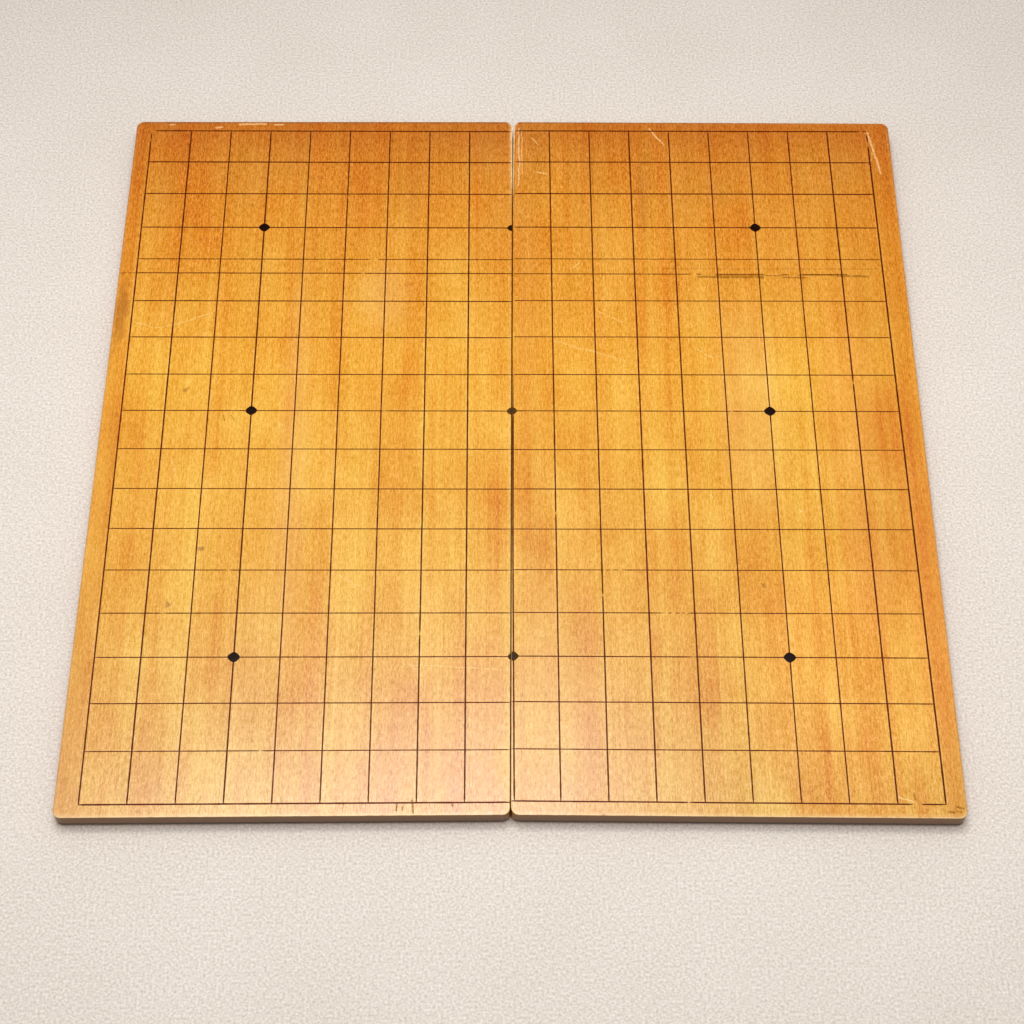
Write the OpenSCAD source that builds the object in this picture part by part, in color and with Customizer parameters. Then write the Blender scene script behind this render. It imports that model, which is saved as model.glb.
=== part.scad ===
// Folding go board: two wooden leaves lie side by side and fold with their undersides together,
// on two butt hinges let into the underside. Felt feet hold the hinge knuckles clear of the table.
// Millimetres. X runs across the leaves, Y away from the player, Z up.
// The origin is on the table, under the middle of the seam.

/* [Grid] */
// Lines each way, an odd number so that the middle line follows the seam
line_count = 19; // [13:2:19]
// From the outermost line to the side edge
side_margin = 10.7; // [6:0.1:14]
// From the outermost line to the near or far edge
end_margin = 7; // [5:0.1:14]
// Cross lines that keep an even spacing, from the far edge
even_rows = 5; // [3:1:6]
// From the last of those to the next line, which was ruled too close
slip_step = 9.6; // [6:0.1:18]
// From the last of those to the line after that
resume_step = 28.5; // [24:0.1:36]
// From the last cross line but one to the nearest
last_step = 28; // [20:0.1:30]
// Width of the lines that run along the seam
long_line_w = 0.8; // [0.5:0.05:1.5]
// Width of the lines that cross the seam
cross_line_w = 0.7; // [0.5:0.05:1.5]
// Bare strip between the right leaf's seam edge and the middle line
middle_strip_w = 0.6; // [0.4:0.1:2]
// Thickness of the lacquer
lacquer_t = 0.1; // [0.05:0.01:0.2]
// Diameter of a star point
star_d = 6; // [4:0.1:8]
// Lines from the middle to the outer star points
star_step = 6; // [3:1:6]

/* [Leaves] */
// Width of the open board, across both leaves
board_w = 426.4; // [380:0.1:480]
// Depth of the board, along the seam
board_d = 428; // [380:0.1:480]
// Thickness of a leaf
leaf_t = 8.2; // [7.8:0.1:12]
// Radius of a leaf's corners in plan
corner_r = 4; // [2:0.1:6]
// Rounding of the top and bottom edges
edge_r = 0.3; // [0.2:0.05:0.4]
// Gap between the leaves at the near end
seam_near = 0.4; // [0.3:0.1:1.5]
// Gap between the leaves at the far end
seam_far = 1.4; // [0.3:0.1:3]

/* [Hinges] */
// Length of a hinge along the seam, without the pin's heads
hinge_l = 40; // [30:1:60]
// From the board's near or far edge to the middle of the hinge
hinge_inset = 85; // [45:1:110]
// Width of a hinge plate, from the pin's axis
plate_w = 13; // [12:0.5:18]
// Thickness of the hinge's sheet metal
plate_t = 0.6; // [0.5:0.1:1.2]
// Knuckles on one hinge, an odd number
knuckle_count = 5; // [3:2:7]
// Diameter of the hinge pin
pin_d = 1.2; // [1.2:0.1:2.4]
// From the leaves' underside down to the pin's axis
axis_drop = 0.05; // [0.05:0.05:0.6]
// Diameter of the pin's peened heads
pin_head_d = 2; // [1.8:0.1:2.4]
// Thickness of the pin's peened heads
pin_head_t = 0.4; // [0.2:0.1:0.8]

/* [Screws] */
// Diameter of a screw's shank
screw_d = 2.4; // [2:0.1:2.6]
// Length of a screw, head included
screw_l = 6; // [4:0.1:6.2]
// Length of a screw's point
screw_tip_l = 1.6; // [1:0.1:2.5]
// Width of the slot in a screw's head
slot_w = 0.6; // [0.4:0.1:0.8]
// Depth of the slot in a screw's head
slot_depth = 0.4; // [0.2:0.05:0.5]
// From a plate's outer edge to its outer screws
screw_edge = 3.5; // [3:0.1:5]
// How far the middle screw is set towards the pin
screw_stagger = 3; // [0:0.1:4]
// From a plate's end to its end screws
screw_end = 6; // [4:0.1:8]

/* [Feet] */
// Diameter of a felt foot
foot_d = 14; // [8:0.5:20]
// From the board's edges to the middle of a foot
foot_inset = 18; // [12:0.5:40]
// Bevel round a foot's lower edge
foot_bevel = 0.4; // [0.1:0.1:0.8]

/* [Clearances] */
// Room between the lowest point of a knuckle and the table
table_room = 0.1; // [0.05:0.05:1]
// Running clearance round the pin in the plate that turns
pin_play = 0.05; // [0.02:0.01:0.1]
// Clearance round the pin in the plate that holds it
pin_grip = 0.02; // [0.01:0.01:0.05]
// How far a knuckle stands above the back of its plate
roll_rise = 0.05; // [0.02:0.01:0.1]
// Gap between the ends of neighbouring knuckles
knuckle_gap = 0.2; // [0.1:0.05:0.4]
// Room between a knuckle and the wood or the other plate
knuckle_play = 0.4; // [0.3:0.05:0.8]
// Room round a plate in its mortise
mortise_play = 0.15; // [0.05:0.05:0.4]
// Clearance round a screw in its plate and in the wood
screw_play = 0.05; // [0.02:0.01:0.1]

/* [Hidden] */

LEFT = -1;
RIGHT = 1;
NEAR = -1;
FAR = 1;

// Smoothness of round solids, and of the rings that shape a leaf's edges
$fn = 64;
ring_fn = 32;
ring_edge_fn = 16;

// How far a cutting solid runs past the face that it cuts
cut = 1;

// Half sizes of the board and of its grid
half_w = board_w / 2;
half_d = board_d / 2;
grid_half_w = half_w - side_margin;
grid_half_d = half_d - end_margin;

// Lines to each side of the middle, and their even spacing across and along the seam
side_lines = (line_count - 1) / 2;
pitch_x = grid_half_w / side_lines;
pitch_y = grid_half_d / side_lines;

// Cross lines are counted from the far edge: even ones, one that slipped, and the rest set out anew
last_row = line_count - 1;
even_end_y = grid_half_d - (even_rows - 1) * pitch_y;
resume_y = even_end_y - resume_step;
rest_pitch = (resume_y + grid_half_d - last_step) / (last_row - even_rows - 2);

// A knuckle is the sheet rolled round the pin
knuckle_r = pin_d / 2 + pin_play + plate_t;
knuckle_step = hinge_l / knuckle_count;
knuckle_l = knuckle_step - knuckle_gap;

// The pin lies just below the underside, so that the leaves fold against each other
foot_t = axis_drop + knuckle_r + table_room;
under_z = foot_t;
axis_z = under_z - axis_drop;
top_z = under_z + leaf_t;

// The sheet of a plate lies above the axis, let into the underside by its own thickness and more
sheet_rise = knuckle_r - plate_t - roll_rise;
sheet_z = axis_z + sheet_rise;

// A plate's edge between its knuckles, and where the sheet ends inside its own roll
notch_x = knuckle_r + knuckle_play;
roll_x = pin_d / 8;

// A countersunk head's 90 degree cone goes right through the sheet
screw_r = screw_d / 2;
head_h = plate_t;
screw_head_r = screw_r + head_h;
screw_tip_r = screw_r / 4;

// The middle line lies on the right leaf, beside its seam edge
middle_line_x = seam_near / 2 + middle_strip_w + long_line_w / 2;

// Half the seam's width at a place along it
function half_seam(y) = (seam_near + (seam_far - seam_near) * (y + half_d) / (2 * half_d)) / 2;

// Place of a cross line, by its number
function row_y(i) =
    i < even_rows ? grid_half_d - i * pitch_y
    : i == even_rows ? even_end_y - slip_step
    : i == last_row ? -grid_half_d
    : resume_y - (i - even_rows - 1) * rest_pitch;

// Middle of a hinge, along the seam
function hinge_y(end) = end * (half_d - hinge_inset);

// Middle of a knuckle, along its hinge
function knuckle_y(i) = (i + 0.5) * knuckle_step - hinge_l / 2;

// Places of a plate's screws, from the middle of the pin
screw_places = [
    for (i = [-1:1])
        [plate_w - screw_edge - (i == 0 ? screw_stagger : 0), i * (hinge_l / 2 - screw_end)]
];

// What is drawn for the right leaf is mirrored for the left one
module on_leaf(side) {
    mirror([side < 0 ? 1 : 0, 0, 0])
        children();
}

// A cylinder along the seam, about the pin's axis
module along_pin(r, l) {
    rotate([90, 0, 0])
        cylinder(r = r, h = l, center = true);
}

// A leaf's blank: round-edged rings at its corners, top and bottom, span the slab
module leaf_blank() {
    hull()
        for (end = [NEAR, FAR], z = [edge_r, leaf_t - edge_r])
            for (x = [half_seam(end * half_d) + corner_r, half_w - corner_r])
                translate([x, end * (half_d - corner_r), under_z + z])
                    rotate_extrude($fn = ring_fn)
                        translate([corner_r - edge_r, 0])
                            circle(r = edge_r, $fn = ring_edge_fn);
}

// What a hinge takes out of a leaf: the plate's mortise, the knuckles' cove and the screw holes
module hinge_cuts() {
    mortise_l = hinge_l + 2 * mortise_play;
    cove_l = hinge_l + 2 * (pin_head_t + knuckle_play);
    translate([0, -mortise_l / 2, under_z - cut])
        cube([plate_w + mortise_play, mortise_l, cut + sheet_z - under_z + plate_t]);
    translate([0, 0, axis_z])
        along_pin(knuckle_r + knuckle_play, cove_l);
    for (place = screw_places)
        translate([place.x, place.y, sheet_z])
            cylinder(r = screw_r + screw_play, h = screw_l + screw_play);
}

module leaf(side) {
    color("goldenrod")
        on_leaf(side)
            difference() {
                leaf_blank();
                for (end = [NEAR, FAR])
                    translate([0, hinge_y(end), 0])
                        hinge_cuts();
            }
}

// The flat of a leaf's top, inside the rounding along the seam
module flat_outline() {
    polygon([
        [half_seam(-half_d) + edge_r, -half_d],
        [half_w, -half_d],
        [half_w, half_d],
        [half_seam(half_d) + edge_r, half_d],
    ]);
}

module star_outlines() {
    intersection() {
        for (x = [0, star_step], i = [-star_step, 0, star_step])
            translate([x * pitch_x, row_y(side_lines + i)])
                circle(d = star_d);
        flat_outline();
    }
}

// A line along the seam, and one that crosses it
module long_line(x) {
    translate([x - long_line_w / 2, -grid_half_d - cross_line_w / 2])
        square([long_line_w, 2 * grid_half_d + cross_line_w]);
}

module cross_line(y) {
    translate([0, y - cross_line_w / 2])
        square([grid_half_w + long_line_w / 2, cross_line_w]);
}

module line_outlines(with_middle) {
    difference() {
        intersection() {
            union() {
                if (with_middle)
                    long_line(middle_line_x);
                for (i = [1:side_lines])
                    long_line(i * pitch_x);
                for (i = [0:last_row])
                    cross_line(row_y(i));
            }
            flat_outline();
        }
        star_outlines();
    }
}

module grid_lines(side) {
    color("black")
        on_leaf(side)
            translate([0, 0, top_z])
                linear_extrude(lacquer_t)
                    line_outlines(with_middle = side == RIGHT);
}

module star_points(side) {
    color("black")
        on_leaf(side)
            translate([0, 0, top_z])
                linear_extrude(lacquer_t)
                    star_outlines();
}

// The countersunk hole for a screw, through the sheet
module countersink() {
    rotate_extrude()
        polygon([
            [0, -cut],
            [screw_head_r + screw_play, -cut],
            [screw_head_r + screw_play, 0],
            [screw_r + screw_play, head_h],
            [screw_r + screw_play, plate_t + cut],
            [0, plate_t + cut],
        ]);
}

// The sheet of a plate, with a tongue for each of its own knuckles
module hinge_sheet(first) {
    linear_extrude(plate_t) {
        translate([notch_x, -hinge_l / 2])
            square([plate_w - notch_x, hinge_l]);
        for (i = [first:2:knuckle_count - 1])
            translate([roll_x, knuckle_y(i) - knuckle_l / 2])
                square([plate_w / 2, knuckle_l]);
    }
}

// The left plate has the end knuckles and holds the pin, and the right plate turns on it
module hinge_plate(side, end) {
    first = side == LEFT ? 0 : 1;
    play = side == LEFT ? pin_grip : pin_play;
    color("darkgoldenrod")
        on_leaf(side)
            translate([0, hinge_y(end), axis_z])
                difference() {
                    union() {
                        translate([0, 0, sheet_rise])
                            hinge_sheet(first);
                        for (i = [first:2:knuckle_count - 1])
                            translate([0, knuckle_y(i), 0])
                                along_pin(knuckle_r, knuckle_l);
                    }
                    along_pin(pin_d / 2 + play, hinge_l + cut);
                    for (place = screw_places)
                        translate([place.x, place.y, sheet_rise])
                            countersink();
                }
}

module hinge_pin(end) {
    head_y = hinge_l / 2;
    color("peru")
        translate([0, hinge_y(end), axis_z])
            rotate([90, 0, 0])
                rotate_extrude()
                    polygon([
                        [0, -head_y - pin_head_t],
                        [pin_d / 2, -head_y - pin_head_t],
                        [pin_head_d / 2, -head_y - pin_head_t / 2],
                        [pin_head_d / 2, -head_y],
                        [pin_d / 2, -head_y],
                        [pin_d / 2, head_y],
                        [pin_head_d / 2, head_y],
                        [pin_head_d / 2, head_y + pin_head_t / 2],
                        [pin_d / 2, head_y + pin_head_t],
                        [0, head_y + pin_head_t],
                    ]);
}

// A wood screw with its head down, and a slot across the head
module screw() {
    difference() {
        rotate_extrude()
            polygon([
                [0, 0],
                [screw_head_r, 0],
                [screw_r, head_h],
                [screw_r, screw_l - screw_tip_l],
                [screw_tip_r, screw_l],
                [0, screw_l],
            ]);
        translate([-screw_head_r - cut, -slot_w / 2, -cut])
            cube([2 * (screw_head_r + cut), slot_w, cut + slot_depth]);
    }
}

module hinge_screws(side, end) {
    color("gold")
        on_leaf(side)
            for (place = screw_places)
                translate([place.x, hinge_y(end) + place.y, sheet_z])
                    screw();
}

module foot(side, end) {
    color("saddlebrown")
        translate([side * (half_w - foot_inset), end * (half_d - foot_inset), 0])
            rotate_extrude()
                polygon([
                    [0, 0],
                    [foot_d / 2 - foot_bevel, 0],
                    [foot_d / 2, foot_bevel],
                    [foot_d / 2, foot_t],
                    [0, foot_t],
                ]);
}

leaf(LEFT);  // left_leaf
leaf(RIGHT);  // right_leaf
grid_lines(LEFT);  // left_grid_lines
grid_lines(RIGHT);  // right_grid_lines
star_points(LEFT);  // left_star_points
star_points(RIGHT);  // right_star_points
hinge_plate(LEFT, NEAR);  // near_hinge_left_plate
hinge_plate(RIGHT, NEAR);  // near_hinge_right_plate
hinge_pin(NEAR);  // near_hinge_pin
hinge_screws(LEFT, NEAR);  // near_hinge_left_screws
hinge_screws(RIGHT, NEAR);  // near_hinge_right_screws
hinge_plate(LEFT, FAR);  // far_hinge_left_plate
hinge_plate(RIGHT, FAR);  // far_hinge_right_plate
hinge_pin(FAR);  // far_hinge_pin
hinge_screws(LEFT, FAR);  // far_hinge_left_screws
hinge_screws(RIGHT, FAR);  // far_hinge_right_screws
foot(LEFT, NEAR);  // left_near_foot
foot(LEFT, FAR);  // left_far_foot
foot(RIGHT, NEAR);  // right_near_foot
foot(RIGHT, FAR);  // right_far_foot
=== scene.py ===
"""Folding go board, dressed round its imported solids.

Worn varnished leaves, ruled lacquer lines, star points, brass hinges and felt feet.
"""

import math
import random

import bmesh
import bpy
from mathutils import Matrix, Vector, noise


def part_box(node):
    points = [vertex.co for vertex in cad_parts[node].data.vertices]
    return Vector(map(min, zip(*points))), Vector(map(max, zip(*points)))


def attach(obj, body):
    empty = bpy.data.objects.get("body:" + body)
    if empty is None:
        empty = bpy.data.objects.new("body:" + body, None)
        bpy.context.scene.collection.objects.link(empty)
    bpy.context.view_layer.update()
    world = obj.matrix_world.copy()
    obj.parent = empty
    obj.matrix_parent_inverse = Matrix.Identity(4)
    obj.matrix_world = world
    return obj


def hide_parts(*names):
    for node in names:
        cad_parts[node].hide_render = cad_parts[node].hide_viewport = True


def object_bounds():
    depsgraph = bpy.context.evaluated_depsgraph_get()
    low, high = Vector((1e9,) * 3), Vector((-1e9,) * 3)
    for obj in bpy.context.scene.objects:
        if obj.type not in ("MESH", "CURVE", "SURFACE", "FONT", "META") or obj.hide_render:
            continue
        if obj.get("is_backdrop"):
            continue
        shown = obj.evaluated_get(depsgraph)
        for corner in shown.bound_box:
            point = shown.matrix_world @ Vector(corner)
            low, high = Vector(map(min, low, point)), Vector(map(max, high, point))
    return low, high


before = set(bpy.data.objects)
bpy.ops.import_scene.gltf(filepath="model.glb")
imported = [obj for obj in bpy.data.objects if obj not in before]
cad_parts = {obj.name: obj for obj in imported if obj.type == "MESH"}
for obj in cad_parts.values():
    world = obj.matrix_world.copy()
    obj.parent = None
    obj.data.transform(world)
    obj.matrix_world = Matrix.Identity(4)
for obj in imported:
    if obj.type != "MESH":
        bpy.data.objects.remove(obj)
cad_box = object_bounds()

# Sizes, in millimetres, the same as in the solids
MM = 0.001
LOW, HIGH = (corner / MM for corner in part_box("right_leaf"))
HALF_W = HIGH.x
HALF_D = HIGH.y
UNDER_Z = LOW.z
TOP_Z = HIGH.z
LINE_COUNT = 19
SIDE_MARGIN = 10.7
END_MARGIN = 7.0
EVEN_ROWS = 5
SLIP_STEP = 9.6
RESUME_STEP = 28.5
LAST_STEP = 28.0
LONG_LINE_W = 0.8
CROSS_LINE_W = 0.7
STAR_D = 6.0
STAR_STEP = 6
CORNER_R = 4.0
HINGE_L = 40.0
HINGE_INSET = 85.0
PLATE_W = 13.0
PLATE_T = 0.6
PIN_D = 1.2
PIN_PLAY = 0.05
AXIS_DROP = 0.05
PIN_HEAD_T = 0.4
ROLL_RISE = 0.05
KNUCKLE_PLAY = 0.4
MORTISE_PLAY = 0.15
SCREW_D = 2.4
SCREW_L = 6.0
SCREW_PLAY = 0.05
SCREW_EDGE = 3.5
SCREW_STAGGER = 3.0
SCREW_END = 6.0

# Sizes that follow from these
SIDE_LINES = (LINE_COUNT - 1) // 2
LAST_ROW = LINE_COUNT - 1
GRID_HALF_W = HALF_W - SIDE_MARGIN
GRID_HALF_D = HALF_D - END_MARGIN
PITCH_X = GRID_HALF_W / SIDE_LINES
PITCH_Y = GRID_HALF_D / SIDE_LINES
EVEN_END_Y = GRID_HALF_D - (EVEN_ROWS - 1) * PITCH_Y
RESUME_Y = EVEN_END_Y - RESUME_STEP
REST_PITCH = (RESUME_Y + GRID_HALF_D - LAST_STEP) / (LAST_ROW - EVEN_ROWS - 2)
KNUCKLE_R = PIN_D / 2 + PIN_PLAY + PLATE_T
COVE_R = KNUCKLE_R + KNUCKLE_PLAY
COVE_L = HINGE_L + 2 * (PIN_HEAD_T + KNUCKLE_PLAY)
AXIS_Z = UNDER_Z - AXIS_DROP
SHEET_Z = AXIS_Z + KNUCKLE_R - PLATE_T - ROLL_RISE
SCREW_HOLE_R = SCREW_D / 2 + SCREW_PLAY
SCREW_HOLE_L = SCREW_L + SCREW_PLAY
SCREW_PLACES = [
    (PLATE_W - SCREW_EDGE - (0 if i else SCREW_STAGGER), i * (HINGE_L / 2 - SCREW_END))
    for i in (-1, 0, 1)
]
LEFT, RIGHT = -1, 1
SIDE_NAMES = {LEFT: "left", RIGHT: "right"}
ENDS = ("near", "far")

# Where the worn board differs from its solids: its edges' rounding and the middle line's place
EDGE_R = 0.2
MIDDLE_LINE_X = 0.75

# The gap at the seam, where it starts to open towards the far end, how much rounder its edges get
# there, and the length over which they turn from dark with dirt and painted shade to bare
SEAM_NEAR = 0.15
SEAM_FAR = 0.9
WEDGE_FROM = 150.0
SEAM_ROUNDING = 0.55
BARE_RUN = 25.0

# The sides and the seam aren't quite true to the grid: their shift half way along, and their lean
SKEW_SHIFT = 0.5
SKEW = 0.0069

# The right leaf's near and far edges run a little towards the player
RIGHT_TURN = -0.005


def seam_wear(y):
    """How far the edges at the seam are worn, which is at the far end."""
    return max(0.0, (y - WEDGE_FROM) / (HALF_D - WEDGE_FROM))


def half_seam(y):
    """Half the gap between the leaves."""
    return (SEAM_NEAR + (SEAM_FAR - SEAM_NEAR) * seam_wear(y)) / 2


def seam_edge(side, y):
    """Where a leaf's flat top ends at the seam, measured from the middle of the grid into the leaf."""
    rounding = EDGE_R + SEAM_ROUNDING * seam_wear(y)
    return half_seam(y) + rounding + side * (SKEW_SHIFT + SKEW * y)


def row_y(row):
    """Place of a cross line, counted from the far edge, as it was ruled."""
    if row < EVEN_ROWS:
        return GRID_HALF_D - row * PITCH_Y
    if row == EVEN_ROWS:
        return EVEN_END_Y - SLIP_STEP
    if row == LAST_ROW:
        return -GRID_HALF_D
    return RESUME_Y - (row - EVEN_ROWS - 1) * REST_PITCH


def linear(red, green, blue):
    """A colour given in sRGB steps of 0 to 255, as the shader wants it."""
    def step(value):
        value /= 255
        return value / 12.92 if value <= 0.04045 else ((value + 0.055) / 1.055) ** 2.4
    return (step(red), step(green), step(blue), 1.0)


# Materials

# The Mix node's colour sockets, by number, as their names aren't unique
MIX_FIRST, MIX_SECOND, MIX_RESULT = 6, 7, 2

# Which way a noise is moved to get another of its kind
NOISE_WAY = (1.0, 0.7, 0.3)

# Where blots, strokes and scattered marks fade and end, as shares of their size
BLOT_CORE = 0.25
STROKE_FADE = (0.25, 0.75)
MARK_HALF_LENGTHS = (0.3, 0.5)
MARK_FADE = (0.2, 0.6)


class Shade:
    """A material under construction: each method adds nodes and returns an output socket."""

    def __init__(self, name):
        self.material = bpy.data.materials.new(name)
        self.material.use_nodes = True
        self.tree = self.material.node_tree
        self.tree.nodes.clear()
        coordinates = self.tree.nodes.new("ShaderNodeTexCoord")
        self.facing = coordinates.outputs["Normal"]
        self.place = self.vector("SCALE", coordinates.outputs["Object"], scale=1 / MM)
        self.x, self.y, self.z = self.axes(self.place)

    def node(self, kind, inputs, out=0, **settings):
        made = self.tree.nodes.new("ShaderNode" + kind)
        for key, value in settings.items():
            setattr(made, key, value)
        for key, value in inputs.items():
            if isinstance(value, bpy.types.NodeSocket):
                self.tree.links.new(value, made.inputs[key])
            else:
                made.inputs[key].default_value = value
        return made.outputs[out]

    def axes(self, vector):
        return self.node("SeparateXYZ", {"Vector": vector}).node.outputs

    def math(self, operation, *values):
        return self.node("Math", dict(enumerate(values)), operation=operation)

    def chain(self, operation, values):
        total = values[0]
        for value in values[1:]:
            total = self.math(operation, total, value)
        return total

    def add(self, *values):
        return self.chain("ADD", values)

    def times(self, *values):
        return self.chain("MULTIPLY", values)

    def largest(self, *values):
        return self.chain("MAXIMUM", values)

    def vector(self, operation, *values, scale=None):
        inputs = dict(enumerate(values))
        if scale is not None:
            inputs["Scale"] = scale
        out = "Value" if operation in ("LENGTH", "DOT_PRODUCT", "DISTANCE") else "Vector"
        return self.node("VectorMath", inputs, out=out, operation=operation)

    def between(self, value, low, high, start=0.0, end=1.0):
        """A smooth step from start to end as value goes from low to high."""
        inputs = {"Value": value, "From Min": low, "From Max": high, "To Min": start, "To Max": end}
        return self.node("MapRange", inputs, interpolation_type="SMOOTHSTEP", clamp=False)

    def spread(self, value, low, high, start=0.0, end=1.0):
        """A plain straight scale from low to high of a value that goes from start to end."""
        inputs = {"Value": value, "From Min": start, "From Max": end, "To Min": low, "To Max": high}
        return self.node("MapRange", inputs, clamp=False)

    def cloud(self, size, detail=3.0, roughness=0.5, lift=0.0):
        """Noise whose features have this size in millimetres along X, Y and Z."""
        scale = tuple(1 / side for side in size)
        offset = tuple(lift * way for way in NOISE_WAY)
        stretched = self.vector("MULTIPLY_ADD", self.place, scale, offset)
        inputs = {"Vector": stretched, "Scale": 1.0, "Detail": detail, "Roughness": roughness}
        return self.node("TexNoise", inputs)

    def mix(self, factor, first, second, blend="MIX"):
        inputs = {"Factor": factor, MIX_FIRST: first, MIX_SECOND: second}
        return self.node("Mix", inputs, out=MIX_RESULT, data_type="RGBA", blend_type=blend)

    def tinted(self, colour, factor, tint):
        """The colour, multiplied by the tint where the factor is 1."""
        return self.mix(factor, colour, tint + (1.0,), blend="MULTIPLY")

    def ramp(self, value, stops):
        made = self.tree.nodes.new("ShaderNodeValToRGB")
        self.tree.links.new(value, made.inputs[0])
        elements = made.color_ramp.elements
        while len(elements) < len(stops):
            elements.new(0.5)
        for element, (position, colour) in zip(elements, stops):
            element.position = position
            element.color = colour
        return made.outputs[0]

    def blot(self, middle, reach, place):
        """A soft patch, 1 in the middle and 0 at its reach across and along."""
        offset = self.vector("SUBTRACT", place, (*middle, 0))
        shrunk = self.vector("MULTIPLY", offset, (1 / reach[0], 1 / reach[1], 0))
        return self.between(self.vector("LENGTH", shrunk), BLOT_CORE, 1.0, 1.0, 0.0)

    def strokes(self, marks, place):
        """Straight marks on the top, merged one by one to keep the shader's working memory small."""
        flat = self.vector("MULTIPLY", place, (1, 1, 0))
        merged = 0.0
        for x, y, end_x, end_y, width in marks:
            run = Vector((end_x - x, end_y - y, 0))
            offset = self.vector("SUBTRACT", flat, (x, y, 0))
            along = self.vector("DOT_PRODUCT", offset, tuple(run / run.length_squared))
            along = self.math("MINIMUM", self.math("MAXIMUM", along, 0.0), 1.0)
            nearest = self.vector("SCALE", tuple(run), scale=along)
            distance = self.vector("DISTANCE", offset, nearest)
            fade_from, fade_to = (width * share for share in STROKE_FADE)
            merged = self.largest(merged, self.between(distance, fade_from, fade_to, 1.0, 0.0))
        return merged

    def scattered(self, cell, width, length, share, seed, strength):
        """One short mark in some cells of an uneven net, each at its own angle."""
        flat = self.vector("MULTIPLY_ADD", self.place, (1 / cell, 1 / cell, 0), (seed, seed * 1.7, 0))
        net = self.node("TexVoronoi", {"Vector": flat, "Scale": 1.0}, voronoi_dimensions="2D").node
        offset = self.vector("SUBTRACT", flat, net.outputs["Position"])
        pick = self.node("SeparateColor", {"Color": net.outputs["Color"]}).node.outputs
        angle = self.times(pick[0], math.pi)
        turned = self.node("VectorRotate", {"Vector": offset, "Angle": angle}, rotation_type="Z_AXIS")
        along, across, _ = self.axes(turned)
        shortest, longest = (length * half / cell for half in MARK_HALF_LENGTHS)
        reach = self.spread(pick[1], shortest, longest)
        within = self.math("LESS_THAN", self.math("ABSOLUTE", along), reach)
        fade_from, fade_to = (width * half / cell for half in MARK_FADE)
        thin = self.between(self.math("ABSOLUTE", across), fade_from, fade_to, 1.0, 0.0)
        chosen = self.math("LESS_THAN", pick[2], share)
        return self.times(within, thin, chosen, strength)

    def finish(self, colour, roughness, height, relief, **others):
        """Closes the material; relief is how far, in millimetres, the height of 0 to 1 stands out."""
        bump = self.node("Bump", {"Height": height, "Strength": 1.0, "Distance": relief * MM})
        inputs = {"Base Color": colour, "Roughness": roughness, "Normal": bump}
        for key, value in others.items():
            inputs[key.replace("_", " ")] = value
        shader = self.node("BsdfPrincipled", inputs)
        output = self.tree.nodes.new("ShaderNodeOutputMaterial")
        self.tree.links.new(shader, output.inputs["Surface"])
        return self.material


# The varnish goes from deep orange at the far end to pale honey at the near end
VARNISH = (
    (0.00, (0.72, 0.365, 0.042, 1.0)),
    (0.30, (0.80, 0.390, 0.032, 1.0)),
    (0.60, (0.84, 0.40, 0.034, 1.0)),
    (0.84, (0.72, 0.27, 0.018, 1.0)),
    (1.00, (0.56, 0.175, 0.012, 1.0)),
)
# How far the red, green and blue of the varnish follow the fine grain, and the broad patches
FINE_REACH = (0.66, 1.0, 5.0)
BROAD_REACH = (0.28, 1.0, 3.0)
# End grain at the top of the end faces, darker and browner there as painted shade, and lower down
END_GRAIN = linear(136, 88, 24)
END_GRAIN_LOW = linear(132, 94, 62)
RAW_EDGE = linear(250, 214, 154)
PALE_WOOD = linear(252, 212, 134)
SCUFFED_WOOD = linear(248, 198, 132)
DARK_STAIN = linear(84, 42, 14)
# Dark of the seam: dirt and old lacquer, and painted shade of the narrow gap
SEAM_STAIN_AND_SHADE = linear(70, 22, 0)

# Grain: size of its features across and along the board, strength and place in the noise
GRAIN = (
    ("fibre", (0.58, 3.4, 0.58), 1.15, 1.0),
    ("strand", (1.0, 50.0, 1.0), 0.40, 7.0),
    ("speckle", (0.8, 1.2, 0.8), 0.72, 13.0),
    ("band", (5.5, 320.0, 5.5), 0.62, 19.0),
    ("cloud", (20.0, 52.0, 20.0), 0.80, 23.0),
    ("patch", (55.0, 120.0, 55.0), 0.62, 29.0),
)
FINE_GRAIN = ("fibre", "strand", "speckle")
BROAD_GRAIN = ("band", "cloud", "patch")
GRAIN_DETAIL = 2.0
GRAIN_ROUGHNESS = 0.55
FIBRE_RELIEF = 0.6
SPECKLE_RELIEF = 0.3
WOOD_RELIEF = 0.03

# How clear the fine grain is at the far end, what the near end adds, how far the clouds move the
# varnish's colours, and the least of colour and shine that the grain leaves
FAR_CLEARNESS = 1.6
NEAR_CLEARNESS = 0.25
VARNISH_DRIFT = 0.09
LEAST_SHARE = 0.2

# Browner margins beside the grid and at its far end: reach, strength, patchiness and tint
MARGIN_BAND = (-1.0, 4.0)
FAR_MARGIN = 26.0
FAR_BROWNNESS = 0.8
MARGIN_PATCHES = (0.5, 1.2)
MARGIN_TINT = (0.90, 0.75, 0.44)

# Darker rims along the far edge and the sides: reach in from the edge, and tint
FAR_RIM = (1.8, 0.7)
FAR_RIM_TINT = (0.66, 0.64, 0.70)
SIDE_RIM = (1.1, 0.4)
SIDE_RIM_TINT = (0.82, 0.82, 0.88)

# Shine at the near and the far end, how far it follows the grain, and what dirt and painted shade at the
# seam leave of it
WOOD_SHINE = (0.68, 0.18)
LINE_SHINE = (0.10, 0.02)
STAR_SHINE = (0.10, 0.03)
SHINE_REACH = 0.4
DIRTY_SHINE = 0.1

# Roughness in the strands, its drift in the clouds, and what wear and the seam's dirt and painted shade add
WOOD_ROUGHNESS = (0.18, 0.30)
ROUGHNESS_DRIFT = 0.06
BROKEN_ROUGHNESS = 0.2
DIRT_ROUGHNESS = 0.4

# How far a face is turned when it starts to count as top, underside or side, and does in full
TOP_FACING = (0.2, 0.7)
UNDER_FACING = (-0.9, -0.5)
SIDE_FACING = (0.55, 0.85)
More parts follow.
